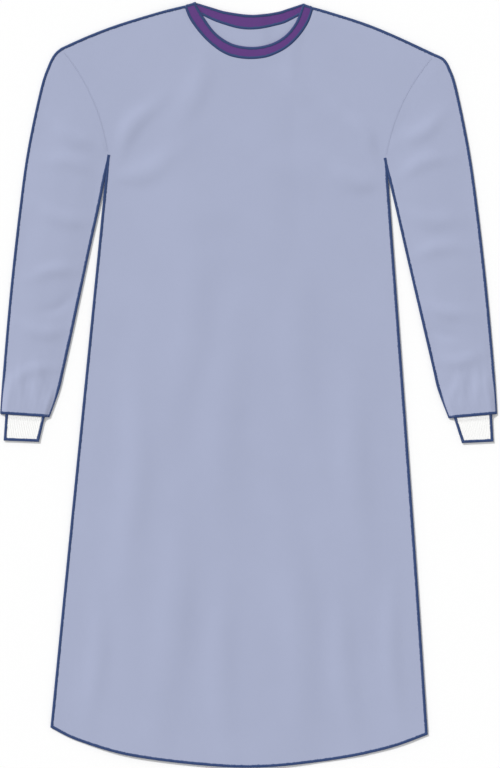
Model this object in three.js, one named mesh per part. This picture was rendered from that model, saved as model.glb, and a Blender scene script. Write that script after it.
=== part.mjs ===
// A back-opening surgical gown, laid flat on a surface with its front up and its sleeves beside it.
// Millimetres. X runs to the viewer's right from above, Y from the hem to the neck, Z up from the surface.
// Left and right in names are the wearer's, so the right sleeve and the right back lie at negative X.
import * as THREE from 'three';

// Walls and gaps
const CLOTH = 1.2;
const GAP = 0.3;
const LAYER = CLOTH + GAP;
const FRONT_LOFT = 1.8;
const SLEEVE_LOFT = 2.0;

// Cuffs: wall under the ribs, a rib's height, ribs on the upper face, and how far a cuff goes into its sleeve
const CUFF_WALL = 1.0;
const CUFF_RIB = 0.4;
const CUFF_RIBS = 20;
const CUFF_INSIDE = 9;
const CUFF_HALF = GAP / 2 + CUFF_WALL + CUFF_RIB;
const CUFF_LIFT = 2 * CUFF_HALF + GAP;
const CUFF_LOWERS_FROM = 3 * GAP;

// The sleeve's upper wall rises over the cuff between these shares of its length.
const CUFF_LIFT_FROM = 0.87;
const CUFF_LIFT_FULL = 0.97;

// Share of a panel's width, or of a sleeve's width and length, over which its loft rises from an edge
const PANEL_RISE = 0.2;
const SLEEVE_RISE_ACROSS = 0.4;
const SLEEVE_RISE_ALONG = 0.25;

// The band is this much narrower where it turns round a shoulder, clear of the panels' corners.
const BAND_NOTCH = 2;

// Grid steps along each edge
const SHOULDER_STEPS = 5;
const NECK_STEPS = 16;
const SIDE_STEPS = 12;
const ARMHOLE_STEPS = 8;
const CUFF_FLAT_STEPS = 5;

// Shares of a sleeve's length at which it has a section, closer together near the cuff.
const SLEEVE_SECTIONS = [0, 0.05, 0.11, 0.2, 0.3, 0.4, 0.5, 0.6, 0.7, 0.8, 0.87, 0.93, 0.97, 1];

// Angles of the points round a folded edge, between its two walls
const FOLD_ANGLES = [0.25, 0.5, 0.75].map((share) => share * Math.PI);

const COLUMNS = 2 * SHOULDER_STEPS + NECK_STEPS;
const RIGHT_NECK_COLUMN = SHOULDER_STEPS;

// The two backs overlap: the right one is outside, on the surface, and the left one lies on it.
const OUTER_BACK_EDGE_COLUMN = 14;
const INNER_BACK_EDGE_COLUMN = 7;

// How far the armhole seam bows into the body
const ARMHOLE_BOW = 14;

// Outline of each half: shoulder seam from neck to armhole, side seam from underarm to hem,
// sleeve fold from the shoulder to the sleeve's end, and underarm seam from the underarm to there.
const RIGHT = {
  shoulder: [
    { x: -107.3, y: 629 },
    { x: -146.7, y: 619.3 },
    { x: -216.1, y: 598.3 },
    { x: -266.3, y: 579.3 },
    { x: -311, y: 559.3 },
  ],
  side: [
    { x: -232, y: 382 },
    { x: -238, y: 340 },
    { x: -249.8, y: 223.8 },
    { x: -273, y: -8.2 },
    { x: -301.3, y: -290.2 },
    { x: -328.8, y: -568 },
  ],
  sleeveFold: [
    { x: -311, y: 559.3 },
    { x: -322.5, y: 549.1 },
    { x: -332.9, y: 529.3 },
    { x: -345.9, y: 489.7 },
    { x: -367, y: 389.4 },
    { x: -380.9, y: 289.7 },
    { x: -395.6, y: 157.8 },
    { x: -407.3, y: 24.9 },
    { x: -412.5, y: -47.9 },
  ],
  underarm: [
    { x: -232, y: 382 },
    { x: -239, y: 340 },
    { x: -249, y: 290 },
    { x: -263.7, y: 223.7 },
    { x: -292, y: 91 },
    { x: -306.8, y: 24.7 },
    { x: -314.5, y: -8.1 },
    { x: -330.8, y: -53.2 },
  ],
  cuffTop: [{ x: -338.5, y: -52.5 }, { x: -403.5, y: -48.5 }],
  cuffEnd: [{ x: -348.3, y: -94.2 }, { x: -406.5, y: -91.9 }],
};
const LEFT = {
  shoulder: [
    { x: 108, y: 626.5 },
    { x: 135.4, y: 618.6 },
    { x: 194.5, y: 599.6 },
    { x: 245, y: 578.8 },
    { x: 308.1, y: 549.5 },
  ],
  side: [
    { x: 226, y: 377 },
    { x: 230.8, y: 345 },
    { x: 239.9, y: 223.9 },
    { x: 257, y: -8.1 },
    { x: 277.4, y: -289.9 },
    { x: 296.8, y: -580 },
  ],
  sleeveFold: [
    { x: 308.1, y: 549.5 },
    { x: 324.3, y: 541.3 },
    { x: 334.2, y: 524.7 },
    { x: 345.6, y: 489.9 },
    { x: 366, y: 389.7 },
    { x: 380.3, y: 289.8 },
    { x: 395.3, y: 157.8 },
    { x: 407.3, y: 25 },
    { x: 412, y: -48 },
  ],
  underarm: [
    { x: 226, y: 377 },
    { x: 231.6, y: 345 },
    { x: 244.5, y: 290 },
    { x: 259.5, y: 224 },
    { x: 290.5, y: 91.2 },
    { x: 305.9, y: 25.5 },
    { x: 313.8, y: -7.6 },
    { x: 331.8, y: -55.1 },
  ],
  cuffTop: [{ x: 340.7, y: -55 }, { x: 403.5, y: -49 }],
  cuffEnd: [{ x: 354, y: -96.2 }, { x: 406, y: -93.7 }],
};

// Bottom hem from the right side seam to the left one
const HEM = [
  { x: -328.8, y: -568 },
  { x: -279.7, y: -591.6 },
  { x: -181.8, y: -617.9 },
  { x: -15, y: -634.5 },
  { x: 117.9, y: -625 },
  { x: 224.7, y: -604.8 },
  { x: 296.8, y: -580 },
];

// Neckline: where the panels end, and the free edge of the band, on the front and on the back
const FRONT_NECK_SEAM = [
  { x: -107.3, y: 629 },
  { x: -99.5, y: 609.5 },
  { x: -88.6, y: 592.7 },
  { x: -75.7, y: 577.2 },
  { x: -61.2, y: 563.5 },
  { x: -44.6, y: 551.7 },
  { x: -25.9, y: 543.9 },
  { x: 0.9, y: 540.4 },
  { x: 27.8, y: 542.9 },
  { x: 47, y: 549.8 },
  { x: 64.6, y: 560 },
  { x: 79.6, y: 573.5 },
  { x: 92.1, y: 589.3 },
  { x: 101.8, y: 606.9 },
  { x: 108, y: 626.5 },
];
const FRONT_NECK_FREE = [
  { x: -89, y: 634.5 },
  { x: -73.5, y: 608.4 },
  { x: -58.4, y: 587.8 },
  { x: -42, y: 573.9 },
  { x: -23.2, y: 564.7 },
  { x: 1.8, y: 560.7 },
  { x: 24.3, y: 562.7 },
  { x: 45.8, y: 570 },
  { x: 64, y: 583.3 },
  { x: 77.7, y: 601.3 },
  { x: 84.4, y: 616.6 },
  { x: 90, y: 632.5 },
];
const BACK_NECK_SEAM = [
  { x: -107.3, y: 629 },
  { x: -61.3, y: 605.4 },
  { x: -34.1, y: 595.7 },
  { x: -15.5, y: 591 },
  { x: 2, y: 589.6 },
  { x: 21.3, y: 591 },
  { x: 42.1, y: 595.6 },
  { x: 62.3, y: 601.5 },
  { x: 108, y: 626.5 },
];
const BACK_NECK_FREE = [
  { x: -89, y: 634.5 },
  { x: -60.1, y: 625.7 },
  { x: -39.1, y: 619.7 },
  { x: 2, y: 614.1 },
  { x: 27.5, y: 615.8 },
  { x: 50.1, y: 619.6 },
  { x: 64.4, y: 624.1 },
  { x: 90, y: 632.5 },
];

const CLOTH_BLUE = new THREE.MeshStandardMaterial({ color: 0xa8afc9, roughness: 0.85, metalness: 0 });
const BAND_PURPLE = new THREE.MeshStandardMaterial({ color: 0x623e7e, roughness: 0.8, metalness: 0 });
const KNIT_WHITE = new THREE.MeshStandardMaterial({ color: 0xfdfdfb, roughness: 0.9, metalness: 0 });

const plan = (row) => new THREE.Vector2(row.x, row.y);
const mix = (a, b, share) => a.clone().lerp(b, share);
const shares = (steps) => Array.from({ length: steps + 1 }, (_, i) => i / steps);
const towards = (from, to, distance) => from.clone().add(to.clone().sub(from).setLength(distance));

function smooth(share) {
  const t = THREE.MathUtils.clamp(share, 0, 1);
  return t * t * (3 - 2 * t);
}

// Evenly spaced points along a smooth line through the rows of a table.
function spaced(rows, steps) {
  return new THREE.SplineCurve(rows.map(plan)).getSpacedPoints(steps);
}

// Points along a smooth line at given shares of its length.
function atShares(rows, sections) {
  const line = new THREE.SplineCurve(rows.map(plan));
  return sections.map((share) => line.getPointAt(share));
}

// The y of a table's smooth line at x, with each row's slope taken from its neighbours.
function yAt(rows, x) {
  let k = 0;
  while (k < rows.length - 2 && x > rows[k + 1].x) {
    k += 1;
  }
  const slope = (i) => {
    const before = rows[Math.max(i - 1, 0)];
    const after = rows[Math.min(i + 1, rows.length - 1)];
    return (after.y - before.y) / (after.x - before.x);
  };
  const width = rows[k + 1].x - rows[k].x;
  const t = THREE.MathUtils.clamp((x - rows[k].x) / width, 0, 1);
  const t2 = t * t;
  const t3 = t2 * t;
  return (
    (2 * t3 - 3 * t2 + 1) * rows[k].y +
    (t3 - 2 * t2 + t) * width * slope(k) +
    (3 * t2 - 2 * t3) * rows[k + 1].y +
    (t3 - t2) * width * slope(k + 1)
  );
}

// A neck line's points, closest together near the shoulders where it turns.
function neckLine(rows) {
  const first = rows[0].x;
  const last = rows[rows.length - 1].x;
  return Array.from({ length: NECK_STEPS + 1 }, (_, i) => {
    const x = (first + last) / 2 - ((last - first) / 2) * Math.cos((Math.PI * i) / NECK_STEPS);
    return new THREE.Vector2(x, yAt(rows, x));
  });
}

// The armhole seam from the underarm up to the shoulder, bowed towards the body.
function armhole(half) {
  const low = plan(half.side[0]);
  const high = plan(half.shoulder[half.shoulder.length - 1]);
  const across = high.clone().sub(low).normalize();
  const inward = Math.sign(low.x) * -1;
  const bow = new THREE.Vector2(Math.abs(across.y) * inward, Math.abs(across.x));
  const control = mix(low, high, 0.5).addScaledVector(bow, 2 * ARMHOLE_BOW);
  return new THREE.QuadraticBezierCurve(low, control, high).getPoints(ARMHOLE_STEPS);
}

// A grid of plan points inside four edges: low and high run along the rows, start and end up the columns.
function gridInside(low, high, start, end) {
  const columns = low.length - 1;
  const rows = start.length - 1;
  return low.map((_, i) =>
    start.map((__, j) => {
      const u = i / columns;
      const v = j / rows;
      const edges = mix(start[j], end[j], u).add(mix(low[i], high[i], v));
      const corners = mix(mix(low[0], low[columns], u), mix(high[0], high[columns], u), v);
      return edges.sub(corners);
    }),
  );
}

// Makes one closed body from two matching grids of points, the cloth's outer face and its inner face.
function clothSolid(outer, inner, tube = false) {
  const columns = outer.length;
  const rows = outer[0].length;
  const positions = [];
  const faces = [];
  [...outer, ...inner].flat().forEach((p) => positions.push(p.x, p.y, p.z));
  const at = (i, j, side) => (side * columns + (i % columns)) * rows + j;
  const quad = (a, b, c, d) => faces.push(a, b, c, a, c, d);
  const spans = tube ? columns : columns - 1;
  for (let i = 0; i < spans; i += 1) {
    for (let j = 0; j < rows - 1; j += 1) {
      quad(at(i, j, 0), at(i + 1, j, 0), at(i + 1, j + 1, 0), at(i, j + 1, 0));
      quad(at(i, j, 1), at(i, j + 1, 1), at(i + 1, j + 1, 1), at(i + 1, j, 1));
    }
    quad(at(i, 0, 1), at(i + 1, 0, 1), at(i + 1, 0, 0), at(i, 0, 0));
    quad(at(i, rows - 1, 0), at(i + 1, rows - 1, 0), at(i + 1, rows - 1, 1), at(i, rows - 1, 1));
  }
  if (!tube) {
    const last = columns - 1;
    for (let j = 0; j < rows - 1; j += 1) {
      quad(at(0, j, 0), at(0, j + 1, 0), at(0, j + 1, 1), at(0, j, 1));
      quad(at(last, j, 1), at(last, j + 1, 1), at(last, j + 1, 0), at(last, j, 0));
    }
  }
  const geometry = new THREE.BufferGeometry();
  geometry.setAttribute('position', new THREE.Float32BufferAttribute(positions, 3));
  geometry.setIndex(volume(positions, faces) < 0 ? faces.reverse() : faces);
  geometry.computeVertexNormals();
  return geometry;
}

function volume(positions, faces) {
  let total = 0;
  for (let f = 0; f < faces.length; f += 3) {
    const [a, b, c] = [0, 1, 2].map((k) => new THREE.Vector3().fromArray(positions, 3 * faces[f + k]));
    total += a.dot(b.cross(c)) / 6;
  }
  return total;
}

// Underside of the left back: on the right back as far as that one's free edge, then down on the surface.
const innerBackBase = (column) => (column <= OUTER_BACK_EDGE_COLUMN ? LAYER : 0);

// Underside of the front along its seams: on both backs where they overlap, and a column past that,
// and on one elsewhere.
const overBothBacks = (column) => column >= RIGHT_NECK_COLUMN && column <= OUTER_BACK_EDGE_COLUMN + 1;
const frontBase = (column) => (overBothBacks(column) ? 2 * LAYER : LAYER);

// 0 at both ends of a grid's side, rising to 1 over the given share of it.
const awayFromEdges = (share, rise) => smooth(Math.min(share, 1 - share) / rise);

// The body's columns along its shoulders and neckline, and along its hem.
function shoulderLine(neckRows) {
  const right = spaced(RIGHT.shoulder, SHOULDER_STEPS).reverse();
  const left = spaced(LEFT.shoulder, SHOULDER_STEPS);
  return [...right.slice(0, -1), ...neckLine(neckRows), ...left.slice(1)];
}

function sideLine(half) {
  const side = spaced(half.side, SIDE_STEPS).reverse();
  return [...side.slice(0, -1), ...armhole(half)];
}

function bodyGrid(neckRows) {
  return gridInside(spaced(HEM, COLUMNS), shoulderLine(neckRows), sideLine(RIGHT), sideLine(LEFT));
}

// A panel of the body between two columns, with the height of its underside at each grid point.
function panel(neckRows, firstColumn, lastColumn, base) {
  const grid = bodyGrid(neckRows).slice(firstColumn, lastColumn + 1);
  const heightAt = (i, j) => base(firstColumn + i, j / (grid[0].length - 1));
  const lifted = (rise) =>
    grid.map((line, i) => line.map((p, j) => new THREE.Vector3(p.x, p.y, heightAt(i, j) + rise)));
  return clothSolid(lifted(CLOTH), lifted(0));
}

function front() {
  return panel(FRONT_NECK_SEAM, 0, COLUMNS, (column, v) => {
    const loft = FRONT_LOFT * awayFromEdges(column / COLUMNS, PANEL_RISE) * awayFromEdges(v, PANEL_RISE);
    return frontBase(column) + loft;
  });
}

function outerBack() {
  return panel(BACK_NECK_SEAM, 0, OUTER_BACK_EDGE_COLUMN, () => 0);
}

function innerBack() {
  return panel(BACK_NECK_SEAM, INNER_BACK_EDGE_COLUMN, COLUMNS, innerBackBase);
}

// A half turn of cloth between two levels, as offsets outward and up from its centre.
function foldRing(radius) {
  return FOLD_ANGLES.map((angle) => ({ out: radius * Math.sin(angle), up: -radius * Math.cos(angle) }));
}

// A sleeve is one piece, folded along its outer edge and sewn at the underarm.
function sleeve(half) {
  const seam = armhole(half);
  const outwards = Math.sign(seam[0].x);
  const top = seam.map((p) => p.clone().add(new THREE.Vector2(outwards * GAP, 0)));
  const underarm = atShares(half.underarm, SLEEVE_SECTIONS);
  underarm[0] = top[0];
  const fold = atShares(half.sleeveFold, SLEEVE_SECTIONS);
  fold[0] = top[top.length - 1];
  const end = shares(ARMHOLE_STEPS).map((share) => mix(underarm.at(-1), fold.at(-1), share));
  const grid = gridInside(top, end, underarm, fold);
  const foldHeight = (LAYER + CLOTH) / 2;
  const outer = [];
  const inner = [];
  SLEEVE_SECTIONS.forEach((share, j) => {
    const line = grid.map((column) => column[j]);
    const last = line.length - 1;
    const out = line[last].clone().sub(line[last - 1]).normalize();
    line[last] = line[last].clone().addScaledVector(out, -foldHeight);
    const height = (i) => {
      const u = i / last;
      const loft = SLEEVE_LOFT * awayFromEdges(u, SLEEVE_RISE_ACROSS) * awayFromEdges(share, SLEEVE_RISE_ALONG);
      const overCuff = smooth((share - CUFF_LIFT_FROM) / (CUFF_LIFT_FULL - CUFF_LIFT_FROM));
      return LAYER + loft + (i > 0 && i < last ? overCuff * CUFF_LIFT : 0);
    };
    const place = (p, z) => new THREE.Vector3(p.x, p.y, z);
    const turn = (radius) =>
      foldRing(radius).map((step) => {
        const p = line[last].clone().addScaledVector(out, step.out);
        return place(p, foldHeight + step.up);
      });
    const lower = (z) => line.map((p) => place(p, z));
    const upper = (rise) => line.map((p, i) => place(p, height(i) + rise)).reverse();
    outer.push([...lower(0), ...turn(foldHeight), ...upper(CLOTH)]);
    inner.push([...lower(CLOTH), ...turn(foldHeight - CLOTH), ...upper(0)]);
  });
  return clothSolid(outer, inner);
}

// A knit cuff is a flat tube, plain below and ribbed above. It comes out of the sleeve, down to the surface.
function cuff(half) {
  const [topUnder, topFold] = half.cuffTop.map(plan);
  const [endUnder, endFold] = half.cuffEnd.map(plan);
  const length = topUnder.distanceTo(endUnder);
  const sections = [
    { along: -CUFF_INSIDE, base: LAYER },
    { along: CUFF_LOWERS_FROM, base: LAYER },
    { along: CUFF_INSIDE, base: 0 },
    { along: length, base: 0 },
  ];
  const ribSteps = 2 * CUFF_RIBS;
  const outer = [];
  const inner = [];
  sections.forEach(({ along, base }) => {
    const from = mix(topUnder, endUnder, along / length);
    const to = mix(topFold, endFold, along / length);
    const out = to.clone().sub(from).normalize();
    const a = from.clone().addScaledVector(out, CUFF_HALF);
    const b = to.clone().addScaledVector(out, -CUFF_HALF);
    const middle = base + CUFF_HALF;
    const place = (p, up) => new THREE.Vector3(p.x, p.y, middle + up);
    const ring = (below, above, side) => [
      ...shares(CUFF_FLAT_STEPS).map((share) => place(mix(a, b, share), -below)),
      ...foldRing(side).map((step) => place(b.clone().addScaledVector(out, step.out), step.up)),
      ...shares(ribSteps).map((share, i) => place(mix(b, a, share), above(i))),
      ...foldRing(side).reverse().map((step) => place(a.clone().addScaledVector(out, -step.out), step.up)),
    ];
    outer.push(ring(CUFF_HALF, (i) => CUFF_HALF - (i % 2 === 0 ? CUFF_RIB : 0), CUFF_HALF));
    inner.push(ring(GAP / 2, () => GAP / 2, GAP / 2));
  });
  const across = (rings) => rings[0].map((_, i) => rings.map((ring) => ring[i]));
  return clothSolid(across(outer), across(inner), true);
}

// Both edges of the neckband at each column of a neckline, with the seam edge a gap away from the panel.
function bandEdges(seamRows, freeRows) {
  const seam = neckLine(seamRows);
  return neckLine(freeRows).map((free, i) => ({ seam: towards(seam[i], free, GAP), free }));
}

// The end of a stretch of band, drawn back along it from the shoulder.
function drawnBack(edges, from, to, distance) {
  return {
    seam: towards(edges[from].seam, edges[to].seam, distance),
    free: towards(edges[from].free, edges[to].free, distance),
  };
}

// The neckband is one strip: along the right back, round the right shoulder to the front,
// across it, round the left shoulder, and along the left back on top of its own start.
function neckband() {
  const frontEdges = bandEdges(FRONT_NECK_SEAM, FRONT_NECK_FREE);
  const backEdges = bandEdges(BACK_NECK_SEAM, BACK_NECK_FREE);
  const last = NECK_STEPS;
  const stations = [];
  const fold = (back, frontEnd, low, high) => {
    const radius = (high - low) / 2;
    const along = frontEnd.free.clone().sub(frontEnd.seam).normalize();
    const outward = new THREE.Vector2(-along.y, along.x);
    if (outward.y < 0) {
      outward.negate();
    }
    return FOLD_ANGLES.map((angle) => {
      const share = angle / Math.PI;
      const shift = outward.clone().multiplyScalar(radius * Math.sin(angle));
      const notch = BAND_NOTCH * Math.sin(angle);
      return {
        seam: mix(back.seam, frontEnd.seam, share).add(shift).addScaledVector(along, notch),
        free: mix(back.free, frontEnd.free, share).add(shift),
        height: low + radius * (1 - Math.cos(angle)),
        normal: new THREE.Vector3(
          outward.x * Math.sin(angle),
          outward.y * Math.sin(angle),
          -Math.cos(angle),
        ),
      };
    });
  };
  const half = CLOTH / 2;
  const frontHeight = (i) => frontBase(RIGHT_NECK_COLUMN + i) + half;
  const innerHeight = (i) => innerBackBase(RIGHT_NECK_COLUMN + i) + half;
  const down = new THREE.Vector3(0, 0, -1);
  const up = new THREE.Vector3(0, 0, 1);
  const rightInset = (frontHeight(0) - half) / 2 + half;
  const leftInset = (frontHeight(last) - half) / 2 + half;

  for (let i = OUTER_BACK_EDGE_COLUMN - RIGHT_NECK_COLUMN; i > 0; i -= 1) {
    stations.push({ ...backEdges[i], height: half, normal: down });
  }
  const rightBack = drawnBack(backEdges, 0, 1, rightInset);
  const rightFront = drawnBack(frontEdges, 0, 1, rightInset);
  stations.push({ ...rightBack, height: half, normal: down });
  stations.push(...fold(rightBack, rightFront, half, frontHeight(0)));
  stations.push({ ...rightFront, height: frontHeight(0), normal: up });
  for (let i = 1; i < last; i += 1) {
    stations.push({ ...frontEdges[i], height: frontHeight(i), normal: up });
  }
  const leftFront = drawnBack(frontEdges, last, last - 1, leftInset);
  const leftBack = drawnBack(backEdges, last, last - 1, leftInset);
  stations.push({ ...leftFront, height: frontHeight(last), normal: up });
  stations.push(...fold(leftBack, leftFront, innerHeight(last), frontHeight(last)).reverse());
  stations.push({ ...leftBack, height: innerHeight(last), normal: down });
  for (let i = last - 1; i > 1; i -= 1) {
    stations.push({ ...backEdges[i], height: innerHeight(i), normal: down });
  }

  const face = (side) =>
    stations.map(({ seam, free, height, normal }) =>
      [seam, mix(seam, free, 0.5), free].map((p) =>
        new THREE.Vector3(p.x, p.y, height).addScaledVector(normal, side * half),
      ),
    );
  return clothSolid(face(1), face(-1));
}

function piece(name, geometry, material) {
  const mesh = new THREE.Mesh(geometry, material);
  mesh.name = name;
  return mesh;
}

const group = new THREE.Group();
group.add(piece('front', front(), CLOTH_BLUE));
group.add(piece('back_right', outerBack(), CLOTH_BLUE));
group.add(piece('back_left', innerBack(), CLOTH_BLUE));
group.add(piece('sleeve_right', sleeve(RIGHT), CLOTH_BLUE));
group.add(piece('sleeve_left', sleeve(LEFT), CLOTH_BLUE));
group.add(piece('cuff_right', cuff(RIGHT), KNIT_WHITE));
group.add(piece('cuff_left', cuff(LEFT), KNIT_WHITE));
group.add(piece('neckband', neckband(), BAND_PURPLE));

export default group;
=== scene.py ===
"""Dresses the solids of a surgical gown laid flat: fine cloth, knit cuffs, neckband and edge stitching."""

import math
from functools import partial

import bpy
import numpy as np
from bpy.props import FloatProperty, FloatVectorProperty, IntProperty, PointerProperty
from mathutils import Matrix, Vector


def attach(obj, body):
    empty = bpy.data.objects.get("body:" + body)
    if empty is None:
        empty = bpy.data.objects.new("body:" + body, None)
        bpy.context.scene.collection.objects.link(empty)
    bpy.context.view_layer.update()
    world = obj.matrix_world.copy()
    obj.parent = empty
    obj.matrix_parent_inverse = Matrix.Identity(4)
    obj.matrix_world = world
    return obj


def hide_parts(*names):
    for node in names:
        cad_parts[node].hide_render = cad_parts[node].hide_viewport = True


bl_info = {
    "name": "Surgical gown",
    "version": (1, 0, 0),
    "blender": (4, 5, 0),
    "location": "3D View > Sidebar > Gown",
    "description": "Makes the cloth, cuffs, neckband, stitching and stage of a gown laid flat",
    "category": "Object",
}

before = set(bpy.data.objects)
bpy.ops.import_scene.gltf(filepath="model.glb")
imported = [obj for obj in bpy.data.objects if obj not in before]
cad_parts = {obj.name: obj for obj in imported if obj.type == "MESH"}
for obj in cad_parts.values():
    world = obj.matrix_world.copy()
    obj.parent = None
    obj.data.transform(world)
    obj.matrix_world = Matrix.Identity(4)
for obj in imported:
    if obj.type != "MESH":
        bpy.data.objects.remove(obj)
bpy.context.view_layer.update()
MM = 0.001
UP = (0.0, 0.0, 1.0)
DOWN = (0.0, 0.0, -1.0)

# The layers as the solids have them, in millimetres
WALL = 1.2
GAP = 0.3
LAYER = WALL + GAP
FRONT_LOFT = 1.8
SLEEVE_LOFT = 2.0
FOLD_HEIGHT = (LAYER + WALL) / 2

# The front's loft rises over this share of the body from its sides and hem, and falls towards the neck
LOFT_SHARE = 0.2
LOFT_TOP = 545
LOFT_RISE = 220

# Creases and sway grow from nothing over these shares: from the sides, from the top, and across a sleeve
SIDE_SHARE = 0.05
TOP_SHARE = 0.04
SLEEVE_EDGE_SHARE = 0.125

# Creases: the height in millimetres at which ridges that cross level off, the share of its height that a
# crease has at its ends, the share of its length over which it rises, and how soon it fades past its ends
CREASE_MOST = 4
CREASE_END = 0.25
CREASE_RISE = 0.45
CREASE_FADE = 0.4

# Slight sway of the cloth: its height, and its waves as length across, length up, phase and share
BODY_SWAY = 0.25
BODY_WAVES = [(61, 173, 0.6, 1), (37, -129, 2.1, 0.7), (211, 83, 0, 0.6)]
SLEEVE_SWAY = 0.3
SLEEVE_WAVES = [(31, 47, 0, 1), (-53, 29, 1.3, 0.6)]

# A sleeve: its steps across and along, and the shares of both over which its loft rises
SLEEVE_ACROSS = 36
SLEEVE_ALONG = 120
LOFT_ACROSS = 0.4
LOFT_ALONG = 0.25

# Small gathers where a sleeve is sewn to its cuff: height, number of waves in radians, where they start, the
# share over which they rise, and where they would be gone, which is past the sleeve's end
GATHER_HEIGHT = 0.35
GATHER_WAVES = 61
GATHER_FROM = 0.8
GATHER_RISE = 0.15
GATHER_GONE = 1.2

# Half a turn of a folded edge, as sines and cosines, and of the neckband, as angles
FOLD_TURN = [(math.sin(q), math.cos(q)) for q in np.linspace(0, np.pi, 9)[1:-1]]
BAND_TURN = np.linspace(0, np.pi, 15)[1:-1]

# How close a sleeve's last points lie to its fold, to keep it crisp
FOLD_HOLD = 0.6

# The stage in metres: the floor just under the gown, where the sun stands, its strength and its width in
# degrees, the strength of the room's light, and the camera over it with the height of what its picture shows
FLOOR_REACH = 40
FLOOR_Z = -0.0003
SUN_FROM = (-0.6, 0.7, 0.75)
SUN_STRENGTH = 2.35
SUN_WIDTH = 8
ROOM_STRENGTH = 0.6
CAMERA_AT = (0.0021, 0.00166, 5.0)
SENSOR_WIDTH = 36
SHOWN_HEIGHT = 1.2749

# Columns of the body's grid, counted from the right armhole, and its rows, counted from the hem
SHOULDER_COLUMNS = 5
NECK_COLUMNS = 16
COLUMNS = 2 * SHOULDER_COLUMNS + NECK_COLUMNS
SIDE_ROWS = 12
ARMHOLE_ROWS = 8
ROWS = SIDE_ROWS + ARMHOLE_ROWS
OUTER_BACK_EDGE = 14
INNER_BACK_EDGE = 7
ARMHOLE_BOW = 14

# The cuffs: half height of the flat tube, how far it goes into the sleeve, and the sleeve's lift over it
CUFF_HALF = 1.55
CUFF_INSIDE = 9
CUFF_LIFT = 2 * CUFF_HALF + GAP
CUFF_LIFT_FROM = 0.87
CUFF_LIFT_FULL = 0.97

# Their knit: ribs, points in each, their roundness, over what length the end is rounded and how far it
# closes, and the rows' slight pull with its length
CUFF_RIBS = 20
RIB_POINTS = 8
RIB_ROUNDNESS = 0.7
CUFF_ROUNDING = 0.7
CUFF_CLOSING = 0.55
CUFF_PULL = 0.018
CUFF_PULL_LENGTH = 2.2

# Their points: along a cuff, two more near its end, across its lower face, and along its stitched edges,
# which start inside the sleeve
CUFF_ALONG = 58
CUFF_END_POINTS = (0.4, 0.15)
CUFF_ACROSS = 41
CUFF_EDGE_POINTS = 40
CUFF_EDGE_FROM = -1.5

# The neckband: fine steps in each column, points across it, half its width, how much thinner its edges
# are than its middle, and how much narrower it is where it turns round a shoulder
BAND_FINE = 8
BAND_ACROSS = np.array([0, 0.03, 0.1, 0.2, 0.35, 0.5, 0.65, 0.8, 0.9, 0.97, 1])
BAND_HALF_WIDTH = 10
BAND_THINNER = 0.28
BAND_NOTCH = 2

# Stitches round the band's folds: points across, how far out they lie as a share of its half thickness, and
# the share of its crown that they follow
BAND_FOLD_POINTS = 24
BAND_FOLD_OUT = 0.9
BAND_FOLD_CROWN = 0.6

# Threads: their sides, the thickness of their ends as a share, half their height on top and under the backs
THREAD_SIDES = 6
THREAD_END = 0.5
THREAD_HIGH = 0.42
UNDER_THREAD_HIGH = 0.16

# How uneven the stitches are, and how much of it goes into their lean
STITCH_VARY = 0.06
LEAN_VARY = 0.4

# Seams: how far the shoulders' ones run on to the band, over what length stitches grow where two seams meet
# and from what share of their width, and how far an armhole's stitches lie from its seam
SHOULDER_OVERRUN = 1.4
MERGE_LENGTH = 45
MERGE_SHARE = 0.5
ARMHOLE_STITCH_IN = 1.6

# Outlines, as rows of x and y in millimetres, the same as the solids are made from
RIGHT = {
    "shoulder": [(-107.3, 629), (-146.7, 619.3), (-216.1, 598.3), (-266.3, 579.3), (-311, 559.3)],
    "side": [(-232, 382), (-238, 340), (-249.8, 223.8), (-273, -8.2), (-301.3, -290.2), (-328.8, -568)],
    "sleeve_fold": [
        (-311, 559.3), (-322.5, 549.1), (-332.9, 529.3), (-345.9, 489.7), (-367, 389.4),
        (-380.9, 289.7), (-395.6, 157.8), (-407.3, 24.9), (-412.5, -47.9),
    ],
    "underarm": [
        (-232, 382), (-239, 340), (-249, 290), (-263.7, 223.7), (-292, 91), (-306.8, 24.7),
        (-314.5, -8.1), (-330.8, -53.2),
    ],
    "cuff_top": [(-338.5, -52.5), (-403.5, -48.5)],
    "cuff_end": [(-348.3, -94.2), (-406.5, -91.9)],
}
LEFT = {
    "shoulder": [(108, 626.5), (135.4, 618.6), (194.5, 599.6), (245, 578.8), (308.1, 549.5)],
    "side": [(226, 377), (230.8, 345), (239.9, 223.9), (257, -8.1), (277.4, -289.9), (296.8, -580)],
    "sleeve_fold": [
        (308.1, 549.5), (324.3, 541.3), (334.2, 524.7), (345.6, 489.9), (366, 389.7),
        (380.3, 289.8), (395.3, 157.8), (407.3, 25), (412, -48),
    ],
    "underarm": [
        (226, 377), (231.6, 345), (244.5, 290), (259.5, 224), (290.5, 91.2), (305.9, 25.5),
        (313.8, -7.6), (331.8, -55.1),
    ],
    "cuff_top": [(340.7, -55), (403.5, -49)],
    "cuff_end": [(354, -96.2), (406, -93.7)],
}
HEM = [
    (-328.8, -568), (-279.7, -591.6), (-181.8, -617.9), (-15, -634.5), (117.9, -625),
    (224.7, -604.8), (296.8, -580),
]
FRONT_NECK_SEAM = [
    (-107.3, 629), (-99.5, 609.5), (-88.6, 592.7), (-75.7, 577.2), (-61.2, 563.5), (-44.6, 551.7),
    (-25.9, 543.9), (0.9, 540.4), (27.8, 542.9), (47, 549.8), (64.6, 560), (79.6, 573.5), (92.1, 589.3),
    (101.8, 606.9), (108, 626.5),
]
FRONT_NECK_FREE = [
    (-89, 634.5), (-73.5, 608.4), (-58.4, 587.8), (-42, 573.9), (-23.2, 564.7), (1.8, 560.7),
    (24.3, 562.7), (45.8, 570), (64, 583.3), (77.7, 601.3), (84.4, 616.6), (90, 632.5),
]
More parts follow.
